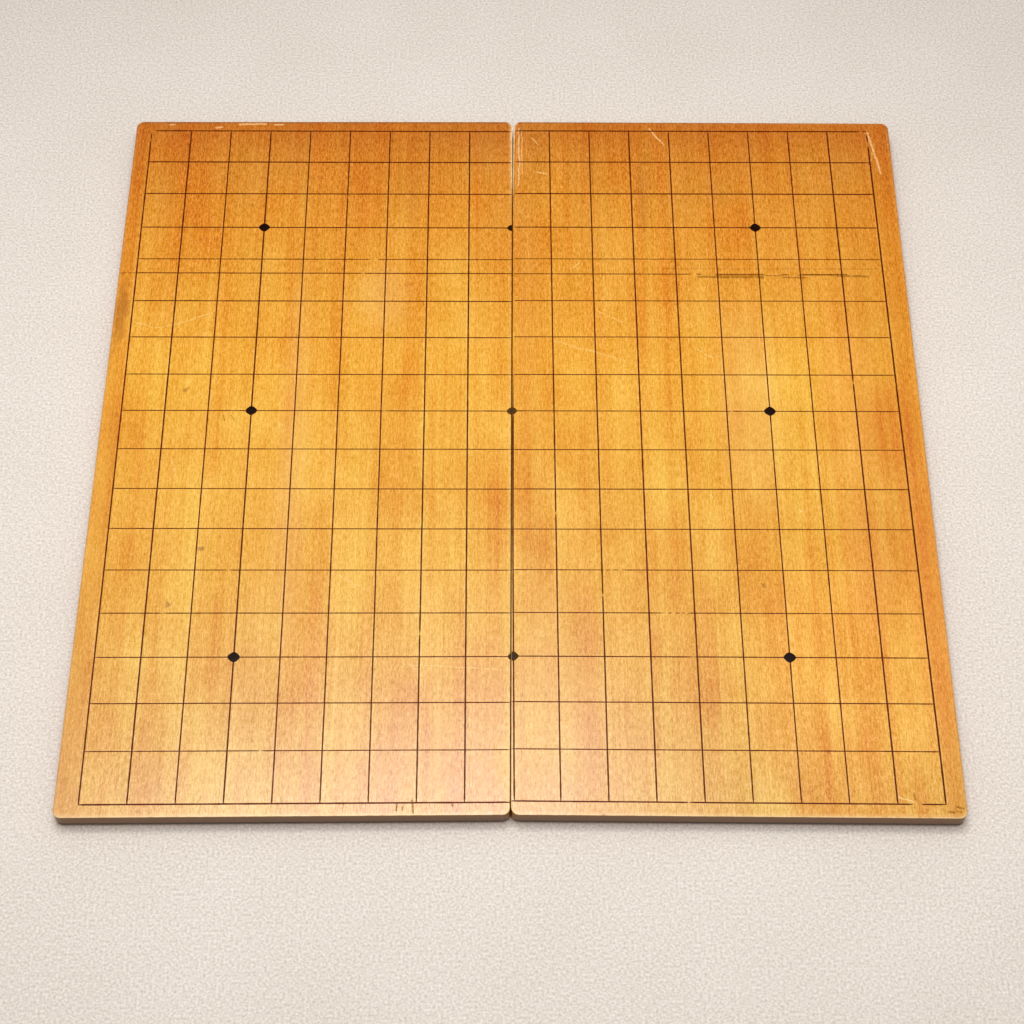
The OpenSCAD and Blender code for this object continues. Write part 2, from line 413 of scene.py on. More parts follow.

# Tints of the end grain's pores, of the painted contact shadow at its foot, of the sides and of the
# underside
PORE_TINT = (0.62, 0.58, 0.54)
FOOT_SHADOW_TINT = (0.16, 0.14, 0.11)
SIDE_TINT = (0.66, 0.55, 0.42)
UNDER_TINT = (0.80, 0.78, 0.72)

# Heights of the painted contact shadow at the end grain's foot and of its paler part, above which the
# painted shade of its top begins, and depth of the bare wood at the seam
FOOT_SHADOW_FADE = (0.8, 2.6)
END_GRAIN_FROM = 1.0
BARE_DEPTH = (4.0, 1.0)

# Rubbed edges: size of their patches, how these fade and how bare they are
RUBBED_PATCH = 4.0
RUBBED_FADE = (0.36, 0.58)
RUBBED_SHARE = (0.55, 1.0)

# Dirt, old lacquer and painted shade of the gap at the seam: how they fade inwards, and their share along
# the right leaf and in all
DIRT_AND_SHADE_FADE = (0.25, 0.60)
RIGHT_DIRT_AND_SHADE_Y = (-60.0, 0.0)
RIGHT_DIRT_AND_SHADE = (0.15, 0.90)
MOST_DIRT_AND_SHADE = 0.95

# Soft stains: middle, reach across and along, and the tint they lay over the varnish
STAINS = (
    ((-80, 158), (9, 42), (0.96, 0.86, 0.74)),
    ((74, 158), (6, 42), (0.88, 0.83, 0.88)),
    ((9, 90), (11, 120), (0.95, 0.87, 0.84)),
    ((11, -60), (10, 120), (0.96, 0.91, 0.95)),
    ((-128, -140), (16, 80), (0.96, 0.92, 1.00)),
    ((-209, 79), (5, 30), (0.72, 0.62, 0.54)),
    ((194, 60), (22, 260), (0.93, 0.84, 0.70)),
    ((176, 20), (22, 120), (0.97, 0.84, 0.84)),
    ((26, -150), (24, 110), (0.95, 0.86, 0.84)),
    ((165, -150), (75, 110), (1.10, 1.00, 0.90)),
    ((207, -100), (16, 130), (1.00, 0.84, 0.78)),
    ((178, -82), (20, 54), (0.94, 0.80, 0.82)),
    ((-170, 28), (1.6, 2.4), (0.55, 0.45, 0.38)),
    ((-156, -67), (1.6, 2.4), (0.55, 0.45, 0.38)),
    ((-169, -101), (1.6, 2.0), (0.60, 0.50, 0.42)),
    ((126, -91), (1.8, 1.6), (0.60, 0.50, 0.42)),
)
PALE_PATCHES = (
    ((-68, 90), (20, 30)),
    ((-112, -20), (12, 170)),
    ((125, 20), (24, 90)),
)

# Drift of stains and marks: how fine it is, and how far it goes
STAIN_DRIFT = (0.12, 9.0)
SCRATCH_DRIFT = (0.16, 2.0)
DARK_DRIFT = (0.9, 0.9)

# How strongly marks cover the varnish
PATCH_STRENGTH = 0.16
CRAZING_STRENGTH = 0.35
PALE_STRENGTH = 0.75
DARK_STRENGTH = 0.6

# Where the speckle breaks marks and scuffs
MARK_BREAKS = (0.36, 0.52)
SCUFF_BREAKS = (0.30, 0.55)
SCUFF_STRENGTH = (0.3, 0.8)

# Crazing: its net, its cracks, one patch of it, and the rest in the clouds
CRAZE_CELL = 5.0
CRAZE_W = 0.045
CRAZED_PATCH = ((-36, -182), (42, 34))
CRAZED_SHARE = 0.5
CRAZED_CLOUD = (0.5, 0.7)
CRAZED_CLOUD_SHARE = 0.4

# Thin varnish beside the long lines: where it starts and ends, and its tint
THIN_START = (0.45, 0.75)
THIN_END = (0.95, 1.5)
THIN_FADE = 0.5
THIN_TINT = (1.0, 1.04, 1.45)

# Scattered marks: net, width, length, share of its cells, place in the noise and strength
PALE_HAIRS = (
    (31, 0.3, 22, 0.5, 3.1, 0.3),
    (15, 0.24, 9, 0.4, 8.3, 0.25),
)
DARK_FLECKS = (11, 0.55, 1.0, 0.4, 5.7, 0.6)

# Scratches: X and Y of their start and end, and width
PALE_SCRATCHES = (
    (14.5, 177, 20.5, 175.5, 0.7),
    (12, 202, 16, 197, 0.5),
    (206, 198, 202, 181, 0.4),
    (33, 108, 38, 113, 0.5),
    (-201, 73, -190, 68.5, 0.4),
    (-190, 68.5, -178, 71, 0.4),
    (-178, 71, -160, 78.5, 0.5),
    (23, 60, 61, 47, 0.4),
    (46, 80, 61, 72, 0.4),
    (99, 54, 107, 49, 0.5),
    (101, -37, 102, -39, 0.9),
    (146, -46, 147, -47, 0.9),
    (-50, -134, 0, -137, 0.45),
    (-174, -15, -171, -26, 0.5),
    (-87, -83, -73, -92, 0.45),
    (181, -204, 188, -207, 0.6),
)
# Broader scuffs, down to the wood
SCUFFS = (
    (5.0, 209, 5.6, 184, 0.9),
    (5.6, 184, 4.6, 167, 0.8),
    (6.9, 208, 7.2, 176, 0.5),
    (79, 209, 87, 197, 0.9),
    (203, 206, 208, 176, 1.1),
    (-153, 212, -138, 212.5, 1.3),
    (-133, 212, -129, 212, 1.1),
    (-166, 209.4, -163, 209.8, 1.2),
    (-193, 212, -190, 212, 0.9),
)
DARK_SCRATCHES = (
    (102, 102.9, 137, 102.6, 1.5),
    (112, 103.8, 151, 103.7, 0.8),
    (148, 102.5, 160, 102.4, 1.0),
    (156, 104.1, 181, 104.0, 0.9),
    (177, 103.6, 194, 103.2, 1.4),
    (-213, 105.6, -203, 105.7, 0.7),
    (83, 108.4, 201, 108.2, 0.35),
    (-47, -205.5, -46.4, -212, 0.9),
    (-51.2, -208, -51.6, -210.5, 0.7),
    (-54, -207, -54.3, -210.8, 0.8),
    (-79, -207.5, -79.4, -209.5, 0.7),
    (42, -212.6, 43, -213.2, 0.9),
    (-149.5, 12.5, -148.5, 9, 0.5),
    (-145.5, 12.5, -143.5, 9, 0.5),
    (-28.5, -206, -28, -208.5, 0.7),
    (188.3, -205.5, 188.1, -202.2, 0.8),
    (203, -211.6, 206, -212.2, 0.9),
    (207.5, -209.3, 210.5, -210.2, 1.0),
    (207, -211.5, 209.5, -211.8, 0.8),
)


def from_seam(shade):
    """Distance from the middle of the seam, to the right."""
    return shade.math("SUBTRACT", shade.x, shade.math("MULTIPLY_ADD", shade.y, SKEW, SKEW_SHIFT))


def wood_fields(shade):
    """Colour, height and grain of the varnished wood, from where a point is on the board."""
    layers = {}
    shares = {}
    for name, size, strength, lift in GRAIN:
        layers[name] = shade.cloud(size, GRAIN_DETAIL, GRAIN_ROUGHNESS, lift=lift)
        shares[name] = shade.spread(layers[name], -strength / 2, strength / 2)
    fine = shade.add(*(shares[name] for name in FINE_GRAIN))
    broad = shade.add(*(shares[name] for name in BROAD_GRAIN))
    clearer = shade.add(
        shade.between(shade.y, 0, HALF_D, 1.0, FAR_CLEARNESS),
        shade.between(shade.y, -HALF_D, 0, NEAR_CLEARNESS, 0.0),
    )
    fine = shade.times(fine, clearer)

    # Varnish along the board, its bounds moved a little by the clouds
    along = shade.spread(shade.y, 0.0, 1.0, -HALF_D, HALF_D)
    along = shade.add(along, shade.spread(layers["cloud"], -VARNISH_DRIFT, VARNISH_DRIFT))
    colour = shade.ramp(along, VARNISH)
    gain = shade.vector("MULTIPLY_ADD", broad, BROAD_REACH, (1.0, 1.0, 1.0))
    gain = shade.vector("MULTIPLY_ADD", fine, FINE_REACH, gain)
    gain = shade.vector("MAXIMUM", gain, (LEAST_SHARE, LEAST_SHARE, LEAST_SHARE))
    colour = shade.vector("MULTIPLY", colour, gain)

    # The margins outside the grid, and the far end, are browner
    outward = shade.math("ABSOLUTE", shade.x)
    beside = shade.between(outward, *(GRID_HALF_W + reach for reach in MARGIN_BAND))
    beyond = shade.between(shade.y, GRID_HALF_D - FAR_MARGIN, HALF_D)
    margin = shade.largest(beside, shade.times(beyond, FAR_BROWNNESS))
    margin = shade.times(margin, shade.spread(layers["cloud"], *MARGIN_PATCHES))
    colour = shade.tinted(colour, margin, MARGIN_TINT)
    outward = shade.math("ABSOLUTE", from_seam(shade))
    far_rim = shade.between(shade.y, *(HALF_D - depth for depth in FAR_RIM))
    side_rim = shade.between(outward, *(HALF_W - depth for depth in SIDE_RIM))
    colour = shade.tinted(colour, far_rim, FAR_RIM_TINT)
    colour = shade.tinted(colour, side_rim, SIDE_RIM_TINT)
    height = shade.add(
        shade.times(layers["fibre"], FIBRE_RELIEF),
        shade.times(layers["speckle"], SPECKLE_RELIEF),
    )
    return {"colour": colour, "height": height, "fine": fine, "layers": layers}


def strayed(shade, fineness, reach):
    """The place on the board, moved about unevenly, so that marks aren't drawn straight."""
    drift = shade.node("TexNoise", {"Vector": shade.place, "Scale": fineness, "Detail": 2.0}, out=1)
    offset = shade.vector("SUBTRACT", drift, (0.5, 0.5, 0.5))
    return shade.vector("ADD", shade.place, shade.vector("SCALE", offset, scale=reach))


def marked(shade, wood):
    """The wood's colour with its patches, stains and scratches, and where it is broken or dark."""
    colour = wood["colour"]
    layers = wood["layers"]
    loose = strayed(shade, *STAIN_DRIFT)
    shaken = strayed(shade, *SCRATCH_DRIFT)
    on_top = shade.between(shade.axes(shade.facing)["Z"], *TOP_FACING)
    for middle, reach in PALE_PATCHES:
        patch = shade.blot(middle, reach, loose)
        colour = shade.mix(shade.times(patch, PATCH_STRENGTH), colour, PALE_WOOD)
    for middle, reach, tint in STAINS:
        stain = shade.times(shade.blot(middle, reach, loose), on_top)
        colour = shade.tinted(colour, stain, tint)

    breaks = shade.between(layers["speckle"], *MARK_BREAKS)
    pale = shade.strokes(PALE_SCRATCHES, shaken)
    for hairs in PALE_HAIRS:
        pale = shade.largest(pale, shade.scattered(*hairs))
    pale = shade.times(pale, breaks, on_top)
    dark = shade.strokes(DARK_SCRATCHES, strayed(shade, *DARK_DRIFT))
    dark = shade.largest(dark, shade.scattered(*DARK_FLECKS))
    dark = shade.times(dark, breaks, on_top)

    cell = {"Vector": shade.vector("SCALE", loose, scale=1 / CRAZE_CELL), "Scale": 1.0}
    net = shade.node("TexVoronoi", cell, feature="DISTANCE_TO_EDGE", voronoi_dimensions="2D")
    crazed = shade.add(
        shade.times(shade.blot(*CRAZED_PATCH, loose), CRAZED_SHARE),
        shade.between(layers["cloud"], *CRAZED_CLOUD, 0.0, CRAZED_CLOUD_SHARE),
    )
    crazing = shade.times(shade.between(net, 0.0, CRAZE_W, 1.0, 0.0), crazed, on_top)
    colour = shade.mix(shade.times(crazing, CRAZING_STRENGTH), colour, PALE_WOOD)
    colour = shade.mix(shade.times(pale, PALE_STRENGTH), colour, PALE_WOOD)
    colour = shade.mix(shade.times(dark, DARK_STRENGTH), colour, DARK_STAIN)
    scuffed = shade.between(layers["speckle"], *SCUFF_BREAKS, *SCUFF_STRENGTH)
    scuffs = shade.times(shade.strokes(SCUFFS, shaken), scuffed, on_top)
    colour = shade.mix(scuffs, colour, SCUFFED_WOOD)

    # The varnish is thin beside the long lines
    to_line = shade.math("PINGPONG", shade.x, PITCH_X / 2)
    to_middle = shade.math("ABSOLUTE", shade.y)
    thin = shade.times(
        on_top,
        shade.between(to_line, *THIN_START),
        shade.between(to_line, *THIN_END, 1.0, 0.0),
        shade.between(to_middle, GRID_HALF_D - THIN_FADE, GRID_HALF_D + THIN_FADE, 1.0, 0.0),
    )
    colour = shade.tinted(colour, thin, THIN_TINT)
    return colour, shade.largest(pale, crazing, scuffs), dark


def seam_dirt_and_shade(shade, side_face):
    """Dirt, old lacquer and painted shade of the gap on the edges that meet at the seam: 1 where they are
    dark.
    """
    opening = {"Value": shade.y, "From Min": WEDGE_FROM, "From Max": HALF_D}
    gap = shade.spread(shade.node("MapRange", opening), SEAM_NEAR / 2, SEAM_FAR / 2)
    across = from_seam(shade)
    depth = shade.math("SUBTRACT", shade.math("ABSOLUTE", across), gap)
    close = shade.between(depth, *DIRT_AND_SHADE_FADE, 1.0, 0.0)
    on_right = shade.between(shade.y, *RIGHT_DIRT_AND_SHADE_Y, *RIGHT_DIRT_AND_SHADE)
    right = shade.math("GREATER_THAN", across, 0.0)
    share = shade.add(shade.times(on_right, right), shade.math("SUBTRACT", 1.0, right))
    kept = shade.between(shade.y, WEDGE_FROM, WEDGE_FROM + BARE_RUN, MOST_DIRT_AND_SHADE, 0.0)
    return shade.times(close, shade.largest(share, side_face), kept)


def wood_material():
    shade = Shade("varnished_wood")
    wood = wood_fields(shade)
    layers = wood["layers"]
    colour, broken, dark = marked(shade, wood)
    wear = shade.node("Attribute", {}, out="Fac", attribute_name="wear")
    across, along, upward = shade.axes(shade.facing)

    # End grain on the near and far faces, painted darker towards the top as painted shade, and a duller
    # underside
    end_colour = shade.between(shade.z, UNDER_Z + END_GRAIN_FROM, TOP_Z)
    end_colour = shade.mix(end_colour, END_GRAIN_LOW, END_GRAIN)
    end_colour = shade.tinted(end_colour, layers["speckle"], PORE_TINT)
    # Painted contact shadow: the foot of the end faces is painted nearly black
    foot = shade.between(shade.z, *(UNDER_Z + rise for rise in FOOT_SHADOW_FADE), 1.0, 0.0)
    end_colour = shade.tinted(end_colour, foot, FOOT_SHADOW_TINT)
    end_face = shade.between(shade.math("ABSOLUTE", along), *SIDE_FACING)
    colour = shade.mix(end_face, colour, end_colour)
    side_face = shade.between(shade.math("ABSOLUTE", across), *SIDE_FACING)
    bare = shade.times(
        shade.between(shade.y, WEDGE_FROM, WEDGE_FROM + BARE_RUN),
        shade.math("LESS_THAN", shade.math("ABSOLUTE", from_seam(shade)), CORNER_R),
        shade.between(shade.z, *(TOP_Z - depth for depth in BARE_DEPTH)),
    )
    colour = shade.mix(shade.times(side_face, bare), colour, RAW_EDGE)
    varnished = shade.largest(shade.math("SUBTRACT", side_face, bare), 0.0)
    colour = shade.tinted(colour, varnished, SIDE_TINT)
    under_face = shade.between(upward, *UNDER_FACING, 1.0, 0.0)
    colour = shade.tinted(colour, under_face, UNDER_TINT)

    # Varnish is rubbed off along the edges, in patches, and the seam is dark with dirt and painted shade
    patches = shade.cloud((RUBBED_PATCH, RUBBED_PATCH, RUBBED_PATCH), 3.0, 0.65, lift=31.0)
    rubbed = shade.between(patches, *RUBBED_FADE, *RUBBED_SHARE)
    colour = shade.mix(shade.times(wear, rubbed), colour, RAW_EDGE)
    dirt_and_shade = seam_dirt_and_shade(shade, side_face)
    colour = shade.mix(dirt_and_shade, colour, SEAM_STAIN_AND_SHADE)

    roughness = shade.add(
        shade.spread(layers["strand"], *WOOD_ROUGHNESS),
        shade.spread(layers["cloud"], -ROUGHNESS_DRIFT, ROUGHNESS_DRIFT),
        shade.times(shade.largest(broken, end_face, under_face), BROKEN_ROUGHNESS),
        shade.times(dirt_and_shade, DIRT_ROUGHNESS),
    )
    shine = shade.times(
        shade.between(shade.y, -HALF_D, HALF_D, *WOOD_SHINE),
        shade.spread(shade.largest(dirt_and_shade, dark), 1.0, DIRTY_SHINE),
        shade.largest(shade.math("MULTIPLY_ADD", wood["fine"], SHINE_REACH, 1.0), LEAST_SHARE),
    )
    return shade.finish(colour, roughness, wood["height"], relief=WOOD_RELIEF, Specular_IOR_Level=shine)


# Lacquer: its flecks, its worn areas and how far wear goes
FLECK_SIZE = (0.9, 1.6, 0.9)
WORN_AREA_SIZE = (22, 30, 22)
WORN_AREA_REACH = 0.22
WEAR_FADE = 0.16
MOST_WEAR = 0.85
FLECK_GAIN = 2.0
LACQUER_ROUGHNESS = (0.34, 0.56)
LACQUER_RELIEF = 0.03


def lacquer_material(name, tone, worn_from, shines):
    """Dark lacquer that lets the wood show through where it is worn."""
    shade = Shade(name)
    wood = wood_fields(shade)
    flecks = shade.cloud(FLECK_SIZE, 3.0, 0.65, lift=37.0)
    areas = shade.cloud(WORN_AREA_SIZE, 2.0, 0.5, lift=41.0)
    worn = shade.add(flecks, shade.spread(areas, -WORN_AREA_REACH, WORN_AREA_REACH))
    worn = shade.between(worn, worn_from, worn_from + WEAR_FADE)
    faded = shade.node("Attribute", {}, out="Fac", attribute_name="wear")
    worn = shade.largest(shade.times(worn, MOST_WEAR), faded)
    lighter = tuple(part * FLECK_GAIN for part in tone[:3]) + (1.0,)
    colour = shade.mix(worn, shade.mix(flecks, tone, lighter), wood["colour"])
    roughness = shade.spread(flecks, *LACQUER_ROUGHNESS)
    shine = shade.between(shade.y, -HALF_D, HALF_D, *shines)
    return shade.finish(colour, roughness, flecks, relief=LACQUER_RELIEF, Specular_IOR_Level=shine)


# Brass: its tarnish, spots and brushing
TARNISH_FADE = (0.35, 0.65)
SPOT_FADE = (0.58, 0.72)
SPOT_COLOUR = linear(70, 52, 30)
SPOT_STRENGTH = 0.6
SPOT_DEPTH = 0.5
SPOT_ROUGHNESS = 0.2
BRASS_ROUGHNESS = (0.22, 0.50)
BRUSHED_RELIEF = 0.6


def brass_material(name, bright, dull):
    shade = Shade(name)
    tarnish = shade.cloud((2.4, 2.4, 2.4), 5.0, 0.65)
    brushed = shade.cloud((0.12, 4.0, 0.12), 3.0, 0.6, lift=4.0)
    spots = shade.between(shade.cloud((0.9, 0.9, 0.9), 3.0, 0.6, lift=8.0), *SPOT_FADE)
    colour = shade.mix(shade.between(tarnish, *TARNISH_FADE), bright, dull)
    colour = shade.mix(shade.times(spots, SPOT_STRENGTH), colour, SPOT_COLOUR)
    roughness = shade.add(shade.spread(tarnish, *BRASS_ROUGHNESS), shade.times(spots, SPOT_ROUGHNESS))
    height = shade.add(shade.times(brushed, BRUSHED_RELIEF), shade.times(spots, -SPOT_DEPTH))
    return shade.finish(colour, roughness, height, relief=0.02, Metallic=1.0)


FELT_DARK = linear(60, 42, 28)
FELT_PALE = linear(128, 98, 70)
CLUMP_TINT = (0.80, 0.78, 0.75)


def felt_material():
    shade = Shade("foot_felt")
    fuzz = shade.cloud((0.35, 0.35, 0.35), 5.0, 0.7)
    clumps = shade.cloud((2.5, 2.5, 2.5), 3.0, 0.6, lift=6.0)
    colour = shade.tinted(shade.mix(fuzz, FELT_DARK, FELT_PALE), clumps, CLUMP_TINT)
    roughness = shade.spread(fuzz, 0.85, 1.0)
    return shade.finish(colour, roughness, fuzz, relief=0.25, Sheen_Weight=0.3)


# Floor: its two colours, what mixes them, and the painted falloff of light that darkens it outwards
FLOOR_DARK = linear(208, 197, 187)
FLOOR_PALE = linear(251, 243, 236)
FIBRE_REACH = 1.1
CLOUD_TONE = (0.4, 0.6)
FLOOR_STRETCH = (0.65, 1.0, 0.0)
FLOOR_MIDDLE = (0, 50, 0)
FLOOR_SHADE_FADE = (140, 520)
FLOOR_SHADE_TINT = (0.82, 0.81, 0.80)


def floor_material():
    shade = Shade("pale_floor")
    fibres = shade.cloud((1.25, 1.25, 1.25), 2.5, 0.55)
    clouds = shade.cloud((60, 60, 60), 2.0, 0.5, lift=3.0)
    tone = shade.add(shade.spread(fibres, -FIBRE_REACH, FIBRE_REACH), shade.spread(clouds, *CLOUD_TONE))
    colour = shade.mix(tone, FLOOR_DARK, FLOOR_PALE)
    # Painted shade: the floor is darkened away from its middle, as a falloff of light
    outward = shade.vector("MULTIPLY_ADD", shade.place, FLOOR_STRETCH, FLOOR_MIDDLE)
    outward = shade.vector("LENGTH", outward)
    colour = shade.tinted(colour, shade.between(outward, *FLOOR_SHADE_FADE), FLOOR_SHADE_TINT)
    roughness = shade.spread(fibres, 0.8, 0.95)
    return shade.finish(colour, roughness, fibres, relief=0.15, Specular_IOR_Level=0.2)


# Meshes

def make_piece(name, shape, material):
    """An object from a shape that is drawn in millimetres."""
    bmesh.ops.recalc_face_normals(shape, faces=shape.faces)
    bmesh.ops.scale(shape, vec=(MM, MM, MM), verts=shape.verts)
    mesh = bpy.data.meshes.new(name)
    shape.to_mesh(mesh)
    shape.free()
    mesh.materials.append(material)
    piece = bpy.data.objects.new(name, mesh)
    bpy.context.scene.collection.objects.link(piece)
    return piece


def smooth(piece, degrees):
    piece.data.shade_smooth()
    piece.data.set_sharp_from_angle(angle=math.radians(degrees))


def dress(piece, side, node):
    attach(piece, SIDE_NAMES[side] + "_half")
    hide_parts(node)


def mirror_to(shape, side):
    if side == LEFT:
        bmesh.ops.scale(shape, vec=(-1, 1, 1), verts=shape.verts)


def way_at(turn):
    """The level way at a share of a whole turn, from X on."""
    return Vector((math.cos(math.tau * turn), math.sin(math.tau * turn), 0))


def join_rings(shape, rings):
    """A closed solid from rings of points that have the same count."""
    count = len(rings[0])
    for low, high in zip(rings, rings[1:]):
        for i in range(count):
            j = (i + 1) % count
            shape.faces.new((low[i], low[j], high[j], high[i]))
    shape.faces.new(rings[0])
    shape.faces.new(rings[-1])


# Leaves
OUTLINE_STEP = 0.9
CORNER_STEPS = 10
INNER_RING = 2.2
EDGE_STEPS = 4
EDGE_UNEVEN = 0.06
EDGE_WAVE = 9.0
CORNER_ROUNDING = 0.35
RUBBED_W = 0.22
RUBBED_RIM = 0.4
WOOD_CREASE = 35
ROD_SIDES = 48

# How far the varnish is rubbed off the sides, the ends, and more and more where the seam is worn
SIDE_WEAR = 0.25
NEAR_WEAR = 0.95
FAR_WEAR = 0.15
SEAM_WEAR_GAIN = 2.0

# Dents in the top edges: their count, half length and depth
LEAF_SEED = 11
DENT_COUNT = 30
DENT_HALF = (0.4, 1.1)
DENT_DEPTH = (0.04, 0.18)

# How far a cutting solid runs past the face that it cuts
CUT_PAST = 2.5

# How much further from the player the near edges end at the seam than at the outer corners
SEAM_RISE = 1.2


def faces_seam(out):
    return out.x < -0.5


def leaf_outline():
    """Points round the right leaf, each with its way out of the leaf."""
    corners = (
        (HALF_W - CORNER_R, -HALF_D + CORNER_R, -0.25),
        (HALF_W - CORNER_R, HALF_D - CORNER_R, 0),
        (half_seam(HALF_D) + CORNER_R, HALF_D - CORNER_R, 0.25),
        (half_seam(-HALF_D) + CORNER_R, -HALF_D + SEAM_RISE + CORNER_R, 0.5),
    )
    points = []
    for i, (x, y, first) in enumerate(corners):
        for k in range(CORNER_STEPS + 1):
            out = way_at(first + k / CORNER_STEPS / 4)
            points.append((Vector((x, y, 0)) + out * CORNER_R, out))
        last = points[-1][0]
        x, y, first = corners[(i + 1) % 4]
        out = way_at(first)
        goal = Vector((x, y, 0)) + out * CORNER_R
        count = int((goal - last).length / OUTLINE_STEP)
        for k in range(1, count):
            point = last.lerp(goal, k / count)
            if faces_seam(out):
                point.x = half_seam(point.y)
            points.append((point, out))
    return points


def edge_rounding(points, seed):
    """The rounding of the top edge at each point: uneven, larger at corners and dents."""
    draw = random.Random(seed)
    runs = [0.0]
    for (a, _), (b, _) in zip(points, points[1:]):
        runs.append(runs[-1] + (b - a).length)
    dents = [
        (draw.uniform(0, runs[-1]), draw.uniform(*DENT_HALF), draw.uniform(*DENT_DEPTH))
        for _ in range(DENT_COUNT)
    ]
    radii = []
    for (point, out), run in zip(points, runs):
        radius = EDGE_R + EDGE_UNEVEN * noise.noise(Vector((run / EDGE_WAVE, seed, 0)))
        radius += CORNER_ROUNDING * abs(out.x * out.y)
        if faces_seam(out):
            radius += SEAM_ROUNDING * seam_wear(point.y)
        for place, half, depth in dents:
            reach = abs(run - place) / half
            if reach < 1:
                radius += depth * (1 - reach * reach) ** 2
        radii.append(radius)
    return radii


def leaf_shape(side):
    shape = bmesh.new()
    wear = shape.verts.layers.float.new("wear")
    points = leaf_outline()
    radii = edge_rounding(points, LEAF_SEED + side)
    quarter = [math.pi / 2 * k / EDGE_STEPS for k in range(EDGE_STEPS + 1)]
    profiles = []
    for radius in radii:
        profile = [(INNER_RING, UNDER_Z, 0.0)]
        profile += [(EDGE_R * (1 - math.sin(a)), UNDER_Z + EDGE_R * (1 - math.cos(a)), 0.0) for a in quarter]
        profile += [(0.0, UNDER_Z + EDGE_R + RUBBED_W, 0.0), (0.0, TOP_Z - radius - RUBBED_W, 0.0)]
        profile += [(radius * (1 - math.cos(a)), TOP_Z - radius * (1 - math.sin(a)), 1.0) for a in quarter]
        profile += [(radius + RUBBED_W, TOP_Z, RUBBED_RIM), (INNER_RING, TOP_Z, 0.0)]
        profiles.append(profile)
    rings = []
    for level in range(len(profiles[0])):
        ring = []
        for (point, out), profile in zip(points, profiles):
            inset, z, rubbed = profile[level]
            spot = point - out * inset
            vertex = shape.verts.new((spot.x, spot.y, z))
            end_wear = NEAR_WEAR if out.y < 0 else FAR_WEAR
            side_wear = SIDE_WEAR
            if out.x <= 0:
                side_wear = min(1.0, SIDE_WEAR + SEAM_WEAR_GAIN * seam_wear(point.y))
            vertex[wear] = rubbed * (side_wear + (end_wear - side_wear) * abs(out.y))
            ring.append(vertex)
        rings.append(ring)
    join_rings(shape, rings)
    mirror_to(shape, side)
    for vertex in shape.verts:
        vertex.co.x += SKEW_SHIFT + SKEW * vertex.co.y
        if side == RIGHT:
            vertex.co.y += RIGHT_TURN * vertex.co.x
    return shape


def box_shape(shape, low, high):
    made = bmesh.ops.create_cube(shape, size=1.0)["verts"]
    low, high = Vector(low), Vector(high)
    bmesh.ops.scale(shape, vec=high - low, verts=made)
    bmesh.ops.translate(shape, vec=(low + high) / 2, verts=made)


def rod_shape(shape, middle, radius, length, axis):
    turn = Matrix.Rotation(math.pi / 2, 4, "X") if axis == "Y" else Matrix.Identity(4)
    bmesh.ops.create_cone(
        shape, cap_ends=True, segments=ROD_SIDES, radius1=radius, radius2=radius, depth=length,
        matrix=Matrix.Translation(middle) @ turn,
    )


def hinge_cutters(side):
    """What the hinges take out of a leaf, as three sets of separate solids."""
    mortises, coves, holes = bmesh.new(), bmesh.new(), bmesh.new()
    for end in (-1, 1):
        y = end * (HALF_D - HINGE_INSET)
        reach = HINGE_L / 2 + MORTISE_PLAY
        low = (-CUT_PAST, y - reach, UNDER_Z - CUT_PAST)
        box_shape(mortises, low, (PLATE_W + MORTISE_PLAY, y + reach, SHEET_Z + PLATE_T))
        rod_shape(coves, (0, y, AXIS_Z), COVE_R, COVE_L, "Y")
        for across, along in SCREW_PLACES:
            middle = (across, y + along, SHEET_Z + SCREW_HOLE_L / 2)
            rod_shape(holes, middle, SCREW_HOLE_R, SCREW_HOLE_L, "Z")
    for shape in (mortises, coves, holes):
        mirror_to(shape, side)
    return mortises, coves, holes


def cut_away(piece, cutters):
    """Takes the cutting solids out of the piece, one set after the other."""
    for shape in cutters:
        cutter = make_piece("cutter", shape, piece.data.materials[0])
        cutting = piece.modifiers.new("cut", "BOOLEAN")
        cutting.operation = "DIFFERENCE"
        cutting.solver = "EXACT"
        cutting.object = cutter
        bpy.context.view_layer.update()
        evaluated = piece.evaluated_get(bpy.context.evaluated_depsgraph_get())
        mesh = bpy.data.meshes.new_from_object(evaluated)
        piece.modifiers.clear()
        old = piece.data
        piece.data = mesh
        bpy.data.meshes.remove(old)
        mesh = cutter.data
        bpy.data.objects.remove(cutter)
        bpy.data.meshes.remove(mesh)


def make_leaf(side, material):
    name = SIDE_NAMES[side]
    piece = make_piece(name + "_board", leaf_shape(side), material)
    cut_away(piece, hinge_cutters(side))
    smooth(piece, WOOD_CREASE)
    dress(piece, side, name + "_leaf")


# Lines
LINE_STEP = 2.4
LINE_RISE = 0.07
LINE_BED = 0.03
LINE_SLOPE = 0.12
LEAST_CROWN = 0.4
CROSS_RISE = 0.9 * LINE_RISE
LONG_GAIN = 1.02
OUTER_LINE_GAIN = 1.1
OUTER_ROW_GAIN = {0: 1.05, LAST_ROW: 1.3}
GAP_CELL = 16.0
GAP_SHARE = 0.02
GAP_LENGTH = (0.3, 0.8)
SHORTEST_RUN = 0.3

# How far a line wanders and varies in width, over which lengths, and how thin it ends
WANDER = 0.06
WANDER_LENGTH = 40.0
UNEVENNESS = 0.22
UNEVEN_LENGTH = 7.0
END_SHARE = 0.6

# Seeds of the draws and places in the noise, for each kind of line and side
LONG_SEED = 500
CROSS_SEED = 900
SIDE_SEED = 40
LONG_PHASE = 100
CROSS_PHASE = 300

